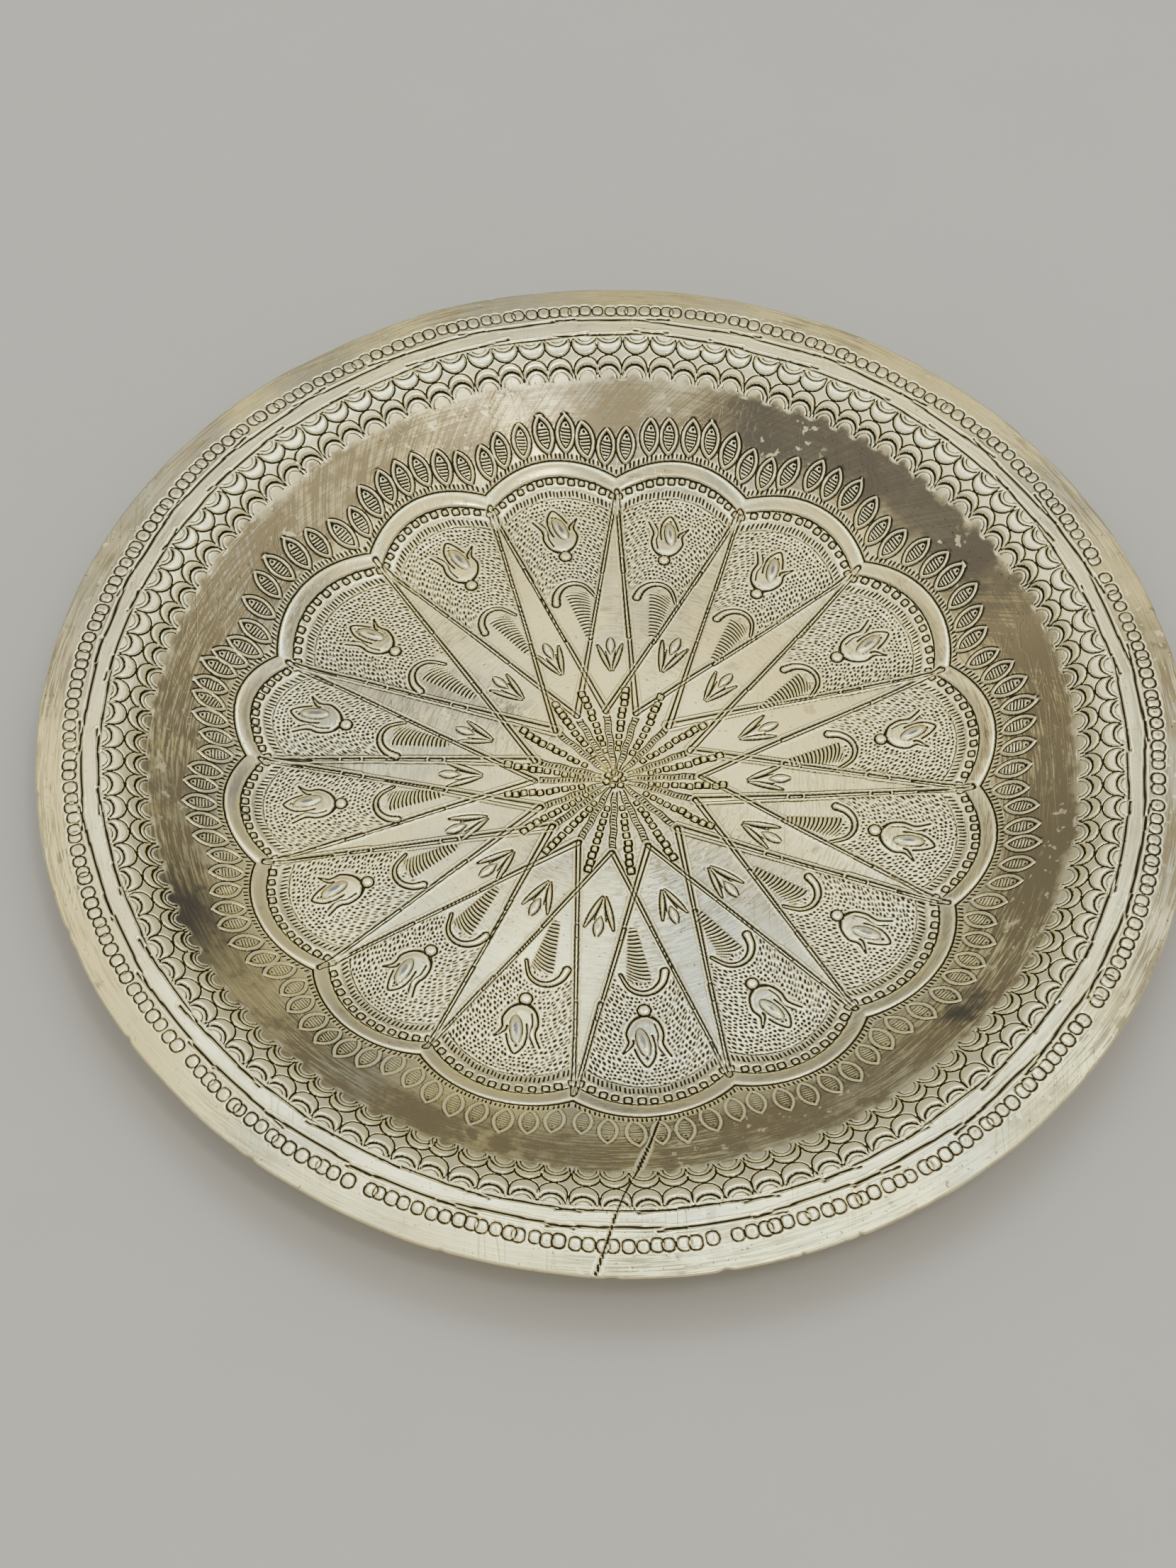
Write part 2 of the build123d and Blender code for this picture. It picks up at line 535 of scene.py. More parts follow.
def scallop_place(radius, turn):
    """Where a point lies by the scalloped border: how far outside its outer line, the place across
    the lobe (-1 at one tip, 0 in the middle, 1 at the other) and the length along it. The line's
    radius is the valley's plus a parabola across the lobe."""
    tips = np.sort(np.radians(np.array(TIP_ANGLES) % 360))
    tips = np.concatenate([[tips[-1] - TAU], tips, [tips[0] + TAU]])
    turn = np.mod(turn, TAU)
    lobe = np.searchsorted(tips, turn, side="right")
    start, stop = tips[lobe - 1], tips[np.minimum(lobe, len(tips) - 1)]
    across = 2 * (turn - start) / (stop - start) - 1
    swell = SCALLOP_PEAK - SCALLOP_VALLEY + 0.5 * (scatter(lobe % LOBES, 0, 3) - 0.5)
    line = SCALLOP_VALLEY + swell * (1 - across**2)
    slope = -4 * swell * across / (stop - start) / line
    return (radius - line) / np.sqrt(1 + slope**2), across, (turn - (start + stop) / 2) * line


def ticks(along, pitch, salt):
    """A row of short strokes side by side, each of its own depth: a parabola in every pitch."""
    place = along / pitch
    number = np.floor(place)
    offset = place - number - 0.5 + 0.22 * (scatter(number, 1, salt) - 0.5)
    return np.clip(1 - (3.2 * offset) ** 2, 0, 1) * (0.6 + 0.4 * scatter(number, 2, salt))


def chase_scallops(sheet):
    """From outside in: fine ticks, a raised smooth band, small pearls, a row of comb ticks and a line."""
    rows = sheet.between(SCALLOP_VALLEY - 9, SCALLOP_PEAK + 2.5)
    if rows is not None:
        place, _, along = scallop_place(sheet.radius[rows], sheet.turn[rows])
        wander = 0.15 * np.sin(along * 0.9) + 0.1 * np.sin(along * 2.3 + 1)
        outer = channel(place - 0.75 - 0.3 * wander, 1.3) * ticks(along, 0.86, 1)
        inner = channel(place + 6.8 - wander, 1.6) * ticks(along, 0.9, 2)
        band = np.clip(1 - ((place + 1.75) / 1.5) ** 2, 0, 1) ** 0.6
        lip = hollow(place + 5.3, 1.6)
        lines = np.maximum.reduce(
            [hollow(place - 0.02, 0.5), 0.5 * hollow(place + 3.3, 0.45), 0.45 * hollow(place + 7.8, 0.4)]
        )
        lift = 0.38 * band + 0.1 * lip
        cut = -0.34 * np.maximum.reduce([lines, outer, inner])
        smooth = ease(place, -7.9, -7.4)
        sheet.work(rows, lift, cut, smooth)
    if sheet.between(SCALLOP_VALLEY - 7, SCALLOP_PEAK) is None:
        return
    stray = np.random.default_rng(15).uniform(-1, 1, (LOBES, 14, 4))
    for k in range(LOBES):
        middle = math.radians(MID_ANGLES[k])
        half = abs(math.remainder(math.radians(TIP_ANGLES[k]) - middle, TAU))
        for n, share in enumerate(np.linspace(-0.95, 0.95, 13)):
            s = stray[k, n]
            radius = scallop_line(share) - 4.15 - 0.5 * abs(share) + 0.14 * s[1]
            turn = middle + half * (share + 0.015 * s[0])
            facing = turn + 1.375 * share * half
            x, y = polar(radius, math.degrees(turn))
            sheet.punch(pearl, x, y, facing, 1.6, 1.0 + 0.1 * s[2])


def chase_leaves(sheet):
    """Seven leaves stand on each lobe of the border, leaning this way and that."""
    stray = np.random.default_rng(16).uniform(-1, 1, (LOBES, LEAVES_PER_LOBE, 4))
    for k in range(LOBES):
        middle = MID_ANGLES[k]
        half = abs(math.degrees(math.remainder(math.radians(TIP_ANGLES[k] - middle), TAU)))
        for n in range(LEAVES_PER_LOBE):
            s = stray[k, n]
            share = (2 * n + 1) / LEAVES_PER_LOBE - 1
            angle = middle + half * share + 0.3 * s[0]
            x, y = polar(scallop_line(share) + 4.75 + 0.35 * s[1], angle)
            facing = math.radians(angle + 9 * s[2] - 3 * share)
            force = 0.68 + 0.38 * math.sin(math.radians(angle))
            sheet.punch(leaf, x, y, facing, 3.6, 1.0 + 0.05 * s[3], force=force)


def chase_crescents(sheet):
    """Two rows of crescents back to back, sharing each angle, with plain diamonds left between."""
    if sheet.between(92, 103) is None:
        return
    stray = np.random.default_rng(17).uniform(-1, 1, (CRESCENTS, 6))
    for k, s in enumerate(stray):
        angle = 360 * (k + 0.05 * s[0]) / CRESCENTS
        facing = math.radians(angle)
        x, y = polar(BELLY_RADIUS + 0.25 + 0.22 * s[1], angle)
        sheet.punch(crescent(2.2), x, y, facing + 0.05 * s[2], 6.2, 0.98 + 0.03 * s[3])
        x, y = polar(BELLY_RADIUS - 0.2 + 0.2 * s[1], angle + 0.1 * s[4])
        sheet.punch(crescent(1.6, 0.4), x, y, facing + math.pi + 0.05 * s[5], 6.2, 0.96 + 0.03 * s[3])


def chase_lines(sheet):
    """Two lines round the brim, each cut as a chain of straight strokes that overrun one another."""
    stray = np.random.default_rng(18).uniform(-1, 1, (2, 40, 4))
    for radius, row, chords in ((INNER_LINE_RADIUS, stray[0], 38), (OUTER_LINE_RADIUS, stray[1], 34)):
        if sheet.between(radius - 2, radius + 2) is None:
            continue
        turn = 360 / chords
        for k in range(chords):
            s = row[k]
            start = polar(radius + 0.42 * s[0], k * turn - 1.6 + 0.9 * s[2])
            end = polar(radius + 0.42 * s[1], (k + 1) * turn + 1.6 + 0.9 * s[3])
            sheet.stroke(start, end, 0.9, 0.7, 0.36, lipped, burr=0.1)


def chase_beads(sheet):
    """A ring of bead punches that crowd, gape and stray from their line."""
    if sheet.between(BEAD_RADIUS - 3, BEAD_RADIUS + 3) is None:
        return
    stray = np.random.default_rng(19).uniform(-1, 1, (BEADS, 5))
    for k, s in enumerate(stray):
        angle = 360 * (k + 0.22 * s[0]) / BEADS
        wander = 0.3 * math.sin(math.radians(2 * angle - 60)) + 0.25 * math.sin(math.radians(11 * angle))
        x, y = polar(BEAD_RADIUS + wander + 0.16 * s[1], angle)
        if s[4] < 0.98:
            force = 0.85 + 0.2 * s[4]
            sheet.punch(bead, x, y, math.radians(angle) + 0.12 * s[2], 2.2, 1.0 + 0.07 * s[3], force=force)


def strip(u, v, reach_in, length, pitch, phase):
    """A ladder strip that widens outwards: short rungs between two side lines."""
    aside = np.abs(v + 0.1 * np.sin(u * 1.3 + phase))
    half = np.minimum(0.12 * (u + reach_in), 0.6)
    ends = ease(u, -0.2, 0.3) * ease(length - 0.7 - u, 0, 0.5)
    rung = 0.5 + 0.5 * np.cos(TAU * (u + 0.12 * np.sin(2.3 * u + phase) + 0.15 * v) / pitch + phase)
    rungs = (0.06 + 0.36 * rung * ease(u + reach_in, 2.5, 6.0)) * ease(half - aside, 0, 0.25)
    cut = -np.maximum(rungs, 0.38 * hollow(aside - half, 0.36)) * ends
    return 0, cut, ease(half - aside, 0, 0.2), 0


def chase_rosette(sheet):
    """The heart: sixteen ladder strips from the middle to the inner corners, a row of pearls in each
    gap and a cluster of ring punches in the middle."""
    if sheet.between(-1, 26) is None:
        return
    stray = np.random.default_rng(20).uniform(-1, 1, (LOBES, 16, 3))
    for k, corner in enumerate(HEARTS):
        start = between_points(STAR_CENTRE, corner, 0.15 + 0.03 * stray[k, 14, 0])
        reach_in = math.dist(start, STAR_CENTRE)
        phase = 3 * stray[k, 14, 1]
        pitch = 0.7 + 0.06 * stray[k, 14, 2]
        length = math.dist(start, corner)
        facing = math.atan2(corner[1] - start[1], corner[0] - start[0])
        block = sheet.near(*between_points(start, corner, 0.5), length / 2 + 1)
        if block is not None:
            dx, dy = sheet.x[block] - start[0], sheet.y[block] - start[1]
            u = dx * math.cos(facing) + dy * math.sin(facing)
            v = dx * math.sin(facing) - dy * math.cos(facing)
            sheet.work(block, *strip(u, v, reach_in, length, pitch, phase))
        following = HEARTS[(k + 1) % LOBES]
        gap = math.atan2(
            corner[1] + following[1] - 2 * STAR_CENTRE[1], corner[0] + following[0] - 2 * STAR_CENTRE[0]
        )
        lean = 0.06 * stray[k, 15, 0]
        for n in range(10):
            s = stray[k, n]
            radius = 7.2 + 1.62 * n + 0.2 * s[0]
            turn = gap + lean * (n - 3) / 6 + 0.012 * s[1]
            x = STAR_CENTRE[0] + radius * math.cos(turn)
            y = STAR_CENTRE[1] + radius * math.sin(turn)
            sheet.punch(pearl, x, y, turn, 1.6, 0.78 + 0.034 * n + 0.06 * s[2], force=1.55 + 0.25 * s[1])
    for k, s in enumerate(np.random.default_rng(21).uniform(-1, 1, (8, 3))):
        x, y = polar(0.0 if k == 0 else 1.5 + 0.35 * s[0], 360 * k / 7 + 12 * s[1], STAR_CENTRE)
        sheet.punch(pearl, x, y, s[2] * 3, 1.8, 0.9 + 0.15 * s[2], force=1.3)


def chase_stipple(sheet):
    """Rows of small pits over the panels. Rows follow the scallops, and each pit strays in its cell."""
    rows = sheet.between(STIPPLE_INNER - 6, SCALLOP_PEAK - 6)
    if rows is None:
        return
    radius = sheet.radius[rows]
    place, across, along = scallop_place(radius, sheet.turn[rows])
    line = (-place + 0.35 * np.sin(along * 0.35) + 0.2 * np.sin(along * 0.8 + place)) / STIPPLE_PITCH
    row = np.floor(line)
    column_place = along * radius / SCALLOP_PEAK * 1.04 / STIPPLE_PITCH
    column_place += 0.5 * np.mod(row, 2) + 0.4 * scatter(row, 5, 4)
    column = np.floor(column_place)
    du = line - row - 0.5 - 0.42 * (scatter(row, column, 5) - 0.5)
    dv = column_place - column - 0.5 - 0.42 * (scatter(row, column, 6) - 0.5)
    wide = 0.8 + 0.35 * scatter(row, column, 8)
    pit = hollow(np.hypot(du, dv * wide), 0.8) * (0.4 + 0.6 * scatter(row, column, 7))
    limit = STIPPLE_INNER - 6 * across**2 + 0.6 * np.sin(along * 1.7)
    ground = ease(radius, limit - 1.6, limit + 1.2) * (1 - sheet.smooth[rows])
    sheet.cut[rows] = np.minimum(sheet.cut[rows], -0.3 * pit * ground)
    sheet.lift[rows] -= 0.03 * ground


CRACK = (
    (-3.6, -114.5),
    (-1.6, -108.5),
    (0.0, -103.0),
    (1.9, -98.0),
    (4.2, -92.5),
    (6.7, -85.0),
    (8.7, -78.0),
)


def cut_crack(sheet):
    """A hairline crack that runs in from the near edge."""
    for start, end in zip(CRACK, CRACK[1:]):
        sheet.stroke(start, end, 0.56, 0.5, 0.34, hollow)


def chase(sheet):
    """All the work, in the order in which a chaser lays it in. Pieces out of a ring's reach are skipped."""
    chase_star(sheet)
    chase_seeds(sheet)
    chase_panels(sheet)
    chase_scallops(sheet)
    chase_leaves(sheet)
    chase_crescents(sheet)
    chase_lines(sheet)
    chase_beads(sheet)
    chase_rosette(sheet)
    chase_stipple(sheet)
    cut_crack(sheet)


# ---------------------------------------------------------------------------------------------
# The raised form
# ---------------------------------------------------------------------------------------------
def section_height(radius):
    """Height of the plain upper face: straight runs, each corner eased by a parabola."""
    height = np.full(radius.shape, FLOOR_TOP)
    slope = 0.0
    for corner, following, bend in zip(SECTION, SECTION[1:], BENDS):
        next_slope = (following[1] - corner[1]) / (following[0] - corner[0])
        past = radius - corner[0]
        eased = np.where(np.abs(past) < bend, (past + bend) ** 2 / (4 * bend), np.maximum(past, 0))
        height += (next_slope - slope) * eased
        slope = next_slope
    return height


def hammered(x, y, amount):
    """Soft hollows left by raising: a sum of long plane waves in many directions."""
    rng = np.random.default_rng(31)
    height = np.zeros(x.shape)
    for _ in range(14):
        turn, phase = rng.uniform(0, TAU, 2)
        length = rng.uniform(18, 60)
        wave = np.sin(TAU * (x * math.cos(turn) + y * math.sin(turn)) / length + phase)
        height += amount * length / 40 * wave
    return height


# Slow waves of the hand-cut edge: the size of each, its waves per turn, and the angle where it peaks.
EDGE_WAVES = ((0.0068, 1, 0.909), (0.0085, 2, -1.110), (0.0028, 3, 0.778))


def edge_radius_share(turn):
    """How far out the hand-cut edge lies at each angle, as a share of the radius: three slow waves,
    plus small nicks."""
    slow = sum(size * np.cos(waves * (turn - peak)) for size, waves, peak in EDGE_WAVES)
    return slow + 0.0004 * np.sin(19 * turn) + 0.0003 * np.sin(43 * turn + 1) - 0.001


def nicks(turn):
    """Small dents in the cut edge, each a narrow bell curve."""
    depth = np.zeros(turn.shape)
    for s in np.random.default_rng(32).uniform(0, 1, (46, 3)):
        away = np.abs(np.mod(turn - TAU * s[0] + math.pi, TAU) - math.pi) * TRAY_RADIUS
        depth += (0.1 + 0.35 * s[1] ** 3) * np.exp(-((away / (0.35 + 0.9 * s[2])) ** 2))
    return depth


def place_points(radius, turn, height, sizes):
    """Turns radius, angle and height into x, y and z, with the rim out of round. Only the outer half
    of the tray strays, growing to the full amount at the edge."""
    share = ease(radius, 55, TRAY_RADIUS)
    grown = radius * (1 + sizes.out_of_round * edge_radius_share(turn) * share)
    grown -= sizes.out_of_round * nicks(turn) * ease(radius, TRAY_RADIUS - 2.2, TRAY_RADIUS - 0.4)
    return np.stack([grown * np.cos(turn), grown * np.sin(turn), height], -1)


def blur(values, rows, columns):
    """A soft average over a few rows and columns: two passes of a box."""
    for _ in range(2):
        if rows:
            padded = np.pad(values, ((rows, rows), (0, 0)), mode="edge")
            values = sum(padded[i : i + len(values)] for i in range(2 * rows + 1)) / (2 * rows + 1)
        if columns:
            values = sum(np.roll(values, i, 1) for i in range(-columns, columns + 1)) / (2 * columns + 1)
    return values


def grid_quads(first, rows, columns):
    """Faces of a grid whose columns close into a ring, wound to face up when rows run outwards."""
    row = np.arange(rows - 1)[:, None] * columns
    column = np.arange(columns)[None, :]
    after = (column + 1) % columns
    corners = (row + column, row + columns + column, row + columns + after, row + after)
    return first + np.stack(np.broadcast_arrays(*corners), -1).reshape(-1, 4)


def stitch(fine, fine_count, coarse, coarse_count):
    """Triangles between a fine ring of points and a coarser one that lies outside or below it."""
    ratio = fine_count // coarse_count
    i = np.arange(fine_count)
    owner = ((i + ratio // 2) // ratio) % coarse_count
    fans = np.stack([fine + i, coarse + owner, fine + (i + 1) % fine_count], -1)
    j = np.arange(coarse_count)
    joint = (j * ratio + ratio // 2) % fine_count
    spans = np.stack([fine + joint, coarse + j, coarse + (j + 1) % coarse_count], -1)
    return np.vstack([fans, spans])


def cap(pole, ring, count, up):
    """Triangles from a pole to the first ring of points."""
    i = np.arange(count)
    fan = np.stack([np.full(count, pole), ring + i, ring + (i + 1) % count], -1)
    return fan if up else fan[:, ::-1]


def surface_normals(points):
    """Unit normals of a grid of points: the cross product of its row and column differences."""
    outwards = np.gradient(points, axis=0)
    round_way = np.roll(points, -1, 1) - np.roll(points, 1, 1)
    normals = np.cross(outwards, round_way)
    return normals / np.maximum(np.linalg.norm(normals, axis=-1, keepdims=True), 1e-12)


def build_ring(name, inner, outer, row_step, column_step, finish):
    """One ring of the tray, closed all round: its chased upper face, its underside and the two walls
    between. The upper face is the section's height plus lift and cut. The underside lies one sheet
    below and shows the work softly in reverse. At the outermost ring the edge is rounded over."""
    sizes = bpy.context.scene.tray_sizes
    coarse = sizes.mesh_step
    sheet = Sheet(inner, outer, row_step * coarse, column_step * coarse)
    chase(sheet)
    relief = (sheet.lift + sheet.cut) * sizes.relief
    wide_rows = max(1, round(0.42 / sheet.row_step))
    wide_columns = max(1, round(0.42 / sheet.column_step))
    cavity = 1.6 * blur(relief, 1, 1) + 0.35 * blur(relief, wide_rows, wide_columns) - 1.95 * relief
    base = section_height(np.abs(sheet.radius)) + hammered(sheet.x, sheet.y, sizes.unevenness / MM)
    points = place_points(sheet.radius, sheet.turn, base + relief, sizes)
    normals = surface_normals(points)

    keep = slice(sheet.spare, len(sheet.radii) - sheet.spare)
    radii, columns = sheet.radii[keep], sheet.columns
    at_pole, at_edge = inner == 0, outer >= TRAY_RADIUS - 1
    parts, part_normals, part_cavity, part_silver = [], [], [], []
    quads, triangles = [], []

    def lay(grid, directions, hollows, silver):
        """Adds a grid of points and returns where it starts."""
        start = sum(len(p) for p in parts)
        parts.append(grid.reshape(-1, 3))
        part_normals.append(directions.reshape(-1, 3))
        part_cavity.append(np.broadcast_to(hollows, grid.shape[:-1]).ravel())
        part_silver.append(np.broadcast_to(silver, grid.shape[:-1]).ravel())
        return start

    skip = 1 if at_pole else 0
    top = lay(points[keep][skip:], normals[keep][skip:], cavity[keep][skip:], sheet.silver[keep][skip:])
    rows = len(radii) - skip
    quads.append(grid_quads(top, rows, columns))
    last = top + (rows - 1) * columns

    if at_edge:
        lean = np.linspace(0, math.pi, 8)[1:, None]
        half = SHEET_THICKNESS / 2
        turn = np.broadcast_to(sheet.turn[:1], (len(lean), columns))
        height = base[keep][-1:] - half + half * np.cos(lean)
        rim = place_points(radii[-1] + half * np.sin(lean) + 0 * turn, turn, height + 0 * turn, sizes)
        level = [np.sin(lean) * np.cos(turn), np.sin(lean) * np.sin(turn)]
        directions = np.stack([*level, np.cos(lean) + 0 * turn], -1)
        lay(rim, directions, -0.04, 0)
        quads.append(grid_quads(last, len(lean) + 1, columns))
        last += len(lean) * columns

    under_count = columns // 4
    under_steps = max(2, round((outer - inner) / (1.3 * coarse)) + 1)
    picks = np.unique(np.linspace(0, len(radii) - 1, under_steps).round().astype(int))[::-1]
    if at_pole:
        picks = picks[:-1]
    soft = blur(relief, 2 * wide_rows, 2 * wide_columns)[keep][picks][:, ::4]
    under_radius = np.repeat(radii[picks][:, None], under_count, 1)
    under_turn = sheet.turn[keep][picks][:, ::4]
    under_base = base[keep][picks][:, ::4] - SHEET_THICKNESS + 0.12 + 0.6 * soft
    low = UNDERSIDE + 0.02 + 0 * under_base
    under = place_points(under_radius, under_turn, np.maximum(under_base, low), sizes)
    under_start = lay(under, surface_normals(under), 0, 0)
    quads.append(grid_quads(under_start, len(picks), under_count))
    triangles.append(stitch(last, columns, under_start, under_count))
    under_last = under_start + (len(picks) - 1) * under_count
    if at_pole:
        middle = points[sheet.spare, 0]
        below = np.array([middle[0], middle[1], UNDERSIDE + 0.02])
        upwards = np.array([[0.0, 0.0, 1.0]])
        pole = lay(middle[None], upwards, cavity[sheet.spare, 0], 0)
        under_pole = lay(below[None], -upwards, 0, 0)
        triangles.append(cap(pole, top, columns, True))
        triangles.append(cap(under_pole, under_last, under_count, False))
    else:
        triangles.append(stitch(top, columns, under_last, under_count)[:, ::-1])

    piece = write_mesh(name, np.vstack(parts) * MM, np.vstack(quads), np.vstack(triangles))
    mesh = piece.data
    for label, values in zip(MASKS, (part_cavity, part_silver)):
        attribute = mesh.attributes.new(label, "FLOAT", "POINT")
        attribute.data.foreach_set("value", np.concatenate(values).astype(np.float32))
    mesh.normals_split_custom_set_from_vertices(np.vstack(part_normals))
    mesh.materials.append(finish)
    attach(piece, "root")
    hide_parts("tray")
    return piece


def write_mesh(name, points, quads, triangles):
    """A smooth-shaded mesh from whole arrays of points, four-sided faces and triangles."""
    mesh = bpy.data.meshes.new(name)
    mesh.vertices.add(len(points))
    mesh.vertices.foreach_set("co", points.astype(np.float32).ravel())
    mesh.loops.add(quads.size + triangles.size)
    corners = np.concatenate([quads.ravel(), triangles.ravel()])
    mesh.loops.foreach_set("vertex_index", corners.astype(np.int32))
    starts = np.concatenate([np.arange(len(quads)) * 4, quads.size + np.arange(len(triangles)) * 3])
    mesh.polygons.add(len(starts))
    mesh.polygons.foreach_set("loop_start", starts.astype(np.int32))
    mesh.update(calc_edges=True)
    mesh.shade_smooth()
    piece = bpy.data.objects.new(name, mesh)
    bpy.context.scene.collection.objects.link(piece)
    return piece


# ---------------------------------------------------------------------------------------------
# Materials
# ---------------------------------------------------------------------------------------------
def add_node(tree, kind, inputs=None, **settings):
    """Adds a shader node, sets it up and fills or links its inputs."""
    node = tree.nodes.new("ShaderNode" + kind)
    for key, value in settings.items():
        setattr(node, key, value)
    for key, value in (inputs or {}).items():
        if isinstance(value, bpy.types.NodeSocket):
            tree.links.new(value, node.inputs[key])
        else:
            node.inputs[key].default_value = value
    return node


def calc(tree, operation, a, b=0.0, c=0.0):
    """The result of one math node."""
    return add_node(tree, "Math", {0: a, 1: b, 2: c}, operation=operation).outputs[0]


def span(tree, value, low, high, to_low=0.0, to_high=1.0):
    """A value eased from one range to another with an S curve."""
    inputs = {"Value": value, "From Min": low, "From Max": high, "To Min": to_low, "To Max": to_high}
    return add_node(tree, "MapRange", inputs, interpolation_type="SMOOTHSTEP").outputs[0]


def blend(tree, factor, a, b):
    """One colour laid over another."""
    node = add_node(tree, "Mix", {0: factor, 6: a, 7: b}, data_type="RGBA")
    return node.outputs[2]


def noise(tree, vector, scale, detail=4.0, roughness=0.55, distortion=0.0):
    """The value of a noise texture."""
    inputs = {"Vector": vector, "Scale": scale, "Detail": detail}
    inputs.update({"Roughness": roughness, "Distortion": distortion})
    return add_node(tree, "TexNoise", inputs).outputs["Fac"]


def point_maths(tree, operation, inputs, output=0):
    """The result of one vector math node."""
    return add_node(tree, "VectorMath", inputs, operation=operation).outputs[output]


def product(tree, a, b):
    """One value times another."""
    return calc(tree, "MULTIPLY", a, b)


def plus(tree, base, value, amount=1.0):
    """A value, times an amount, on top of a base."""
    return calc(tree, "MULTIPLY_ADD", value, amount, base)


def new_group(name, inputs, outputs):
    """An empty node group with named sockets: (name, kind, default) in and (name, kind) out."""
    group = bpy.data.node_groups.new(name, "ShaderNodeTree")
    for label, kind, default in inputs:
        socket = group.interface.new_socket(label, in_out="INPUT", socket_type="NodeSocket" + kind)
        if default is not None:
            socket.default_value = default
    for label, kind in outputs:
        group.interface.new_socket(label, in_out="OUTPUT", socket_type="NodeSocket" + kind)
    return group, group.nodes.new("NodeGroupInput").outputs, group.nodes.new("NodeGroupOutput").inputs


def ring_place_group():
    """Radius from the middle of the tray, and a vector that changes quickly across the rings and
    slowly round them, for marks that a turning cloth leaves. Swirl is a second vector, constant along
    spirals, for marks of slanting strokes."""
    group, given, result = new_group(
        "Place on the round",
        [("Vector", "Vector", None), ("Stretch", "Float", 20.0), ("Twist", "Float", 11.0)],
        [("Radius", "Float"), ("Round", "Vector"), ("Swirl", "Vector")],
    )
    flat = point_maths(group, "MULTIPLY", {0: given["Vector"], 1: (1, 1, 0)})
    radius = point_maths(group, "LENGTH", {0: flat}, "Value")
    heading = point_maths(group, "NORMALIZE", {0: flat})
    slow = calc(group, "DIVIDE", 0.1, given["Stretch"])
    spread = point_maths(group, "SCALE", {0: heading, "Scale": slow})
    rise = add_node(group, "CombineXYZ", {2: radius}).outputs[0]
    both = point_maths(group, "ADD", {0: spread, 1: rise})
    turning = {"Vector": heading, "Angle": product(group, radius, given["Twist"])}
    twisted = add_node(group, "VectorRotate", turning, rotation_type="Z_AXIS").outputs[0]
    fast = point_maths(group, "SCALE", {0: twisted, "Scale": 0.1})
    stretched = calc(group, "DIVIDE", radius, given["Stretch"])
    slow_rise = add_node(group, "CombineXYZ", {2: stretched}).outputs[0]
    swirl = point_maths(group, "ADD", {0: fast, 1: slow_rise})
    for label, value in (("Radius", radius), ("Round", both), ("Swirl", swirl)):
        group.links.new(value, result[label])
    return group


def hollows_group():
    """Splits the sheet's hollows and edges into grime and wear, broken up by noise."""
    group, given, result = new_group(
        "Grime and wear",
        [("Vector", "Vector", None), ("Cavity", "Float", 0.0)],
        [("Grime", "Float"), ("Wear", "Float")],
    )
    patchy = noise(group, given["Vector"], 45.0, 5.0, 0.6)
    fine = noise(group, given["Vector"], 900.0, 3.0, 0.6)
    broken = calc(group, "MULTIPLY_ADD", calc(group, "ADD", patchy, fine), 0.05, -0.05)
    grime = span(group, calc(group, "ADD", given["Cavity"], broken), 0.02, 0.115)
    wear = span(group, calc(group, "SUBTRACT", broken, given["Cavity"]), 0.01, 0.065)
    group.links.new(grime, result["Grime"])
    group.links.new(wear, result["Wear"])
    return group


# Fine scratches: the direction of each set, and how closely its lines stand.
SCRATCHES = ((0.5, 170.0), (2.2, 230.0), (3.6, 150.0))


def handling_group():
    """Marks of use: fine scratches in crossing directions, as thin lines where a stretched noise
    passes its middle value, small pits, the streaks of a brush and a few bright spatters."""
    names = ("Height", "Scratch", "Pits", "Brush", "Spatter")
    group, given, result = new_group(
        "Handling marks",
        [("Vector", "Vector", None), ("Round", "Vector", None)],
        [(name, "Float") for name in names],
    )
    place = given["Vector"]
    total = None
    for turn, scale in SCRATCHES:
        inputs = {"Vector": place, "Rotation": (0, 0, turn), "Scale": (1.0, 0.035, 1.0)}
        mapping = add_node(group, "Mapping", inputs).outputs[0]
        value = noise(group, mapping, scale, 2.0, 0.5, 0.3)
        off_middle = calc(group, "ABSOLUTE", calc(group, "SUBTRACT", value, 0.5))
        line = span(group, off_middle, 0.0, 0.012, 1.0, 0.0)
        total = line if total is None else calc(group, "MAXIMUM", total, line)
    gate = span(group, noise(group, place, 38.0, 3.0, 0.6), 0.48, 0.66)
    scratch = product(group, total, gate)
    rub = noise(group, given["Round"], 2600.0, 3.0, 0.65)
    pits = span(group, noise(group, place, 1300.0, 2.0, 0.5), 0.66, 0.76)
    streak = span(group, noise(group, given["Round"], 2400.0, 3.0, 0.6, 0.4), 0.42, 0.62, -0.6, 0.7)
    patch = span(group, noise(group, place, 22.0, 3.0, 0.6), 0.42, 0.6, 0.2, 1.0)
    speck = span(group, noise(group, place, 520.0, 2.0, 0.5), 0.63, 0.68)
    cluster = span(group, noise(group, place, 31.0, 2.0, 0.5), 0.52, 0.6)
    height = calc(group, "SUBTRACT", product(group, rub, 0.5), product(group, scratch, 0.6))
    height = calc(group, "SUBTRACT", height, product(group, pits, 0.7))
    spatter = product(group, product(group, speck, cluster), 0.6)
    for name, value in zip(names, (height, scratch, pits, product(group, streak, patch), spatter)):
        group.links.new(value, result[name])
    return group


def use_group(tree, group, inputs):
    """Places a node group with its own values."""
    node = tree.nodes.new("ShaderNodeGroup")
    node.node_tree = group
    for key, value in inputs.items():
        if isinstance(value, bpy.types.NodeSocket):
            tree.links.new(value, node.inputs[key])
        else:
            node.inputs[key].default_value = value
    return node.outputs


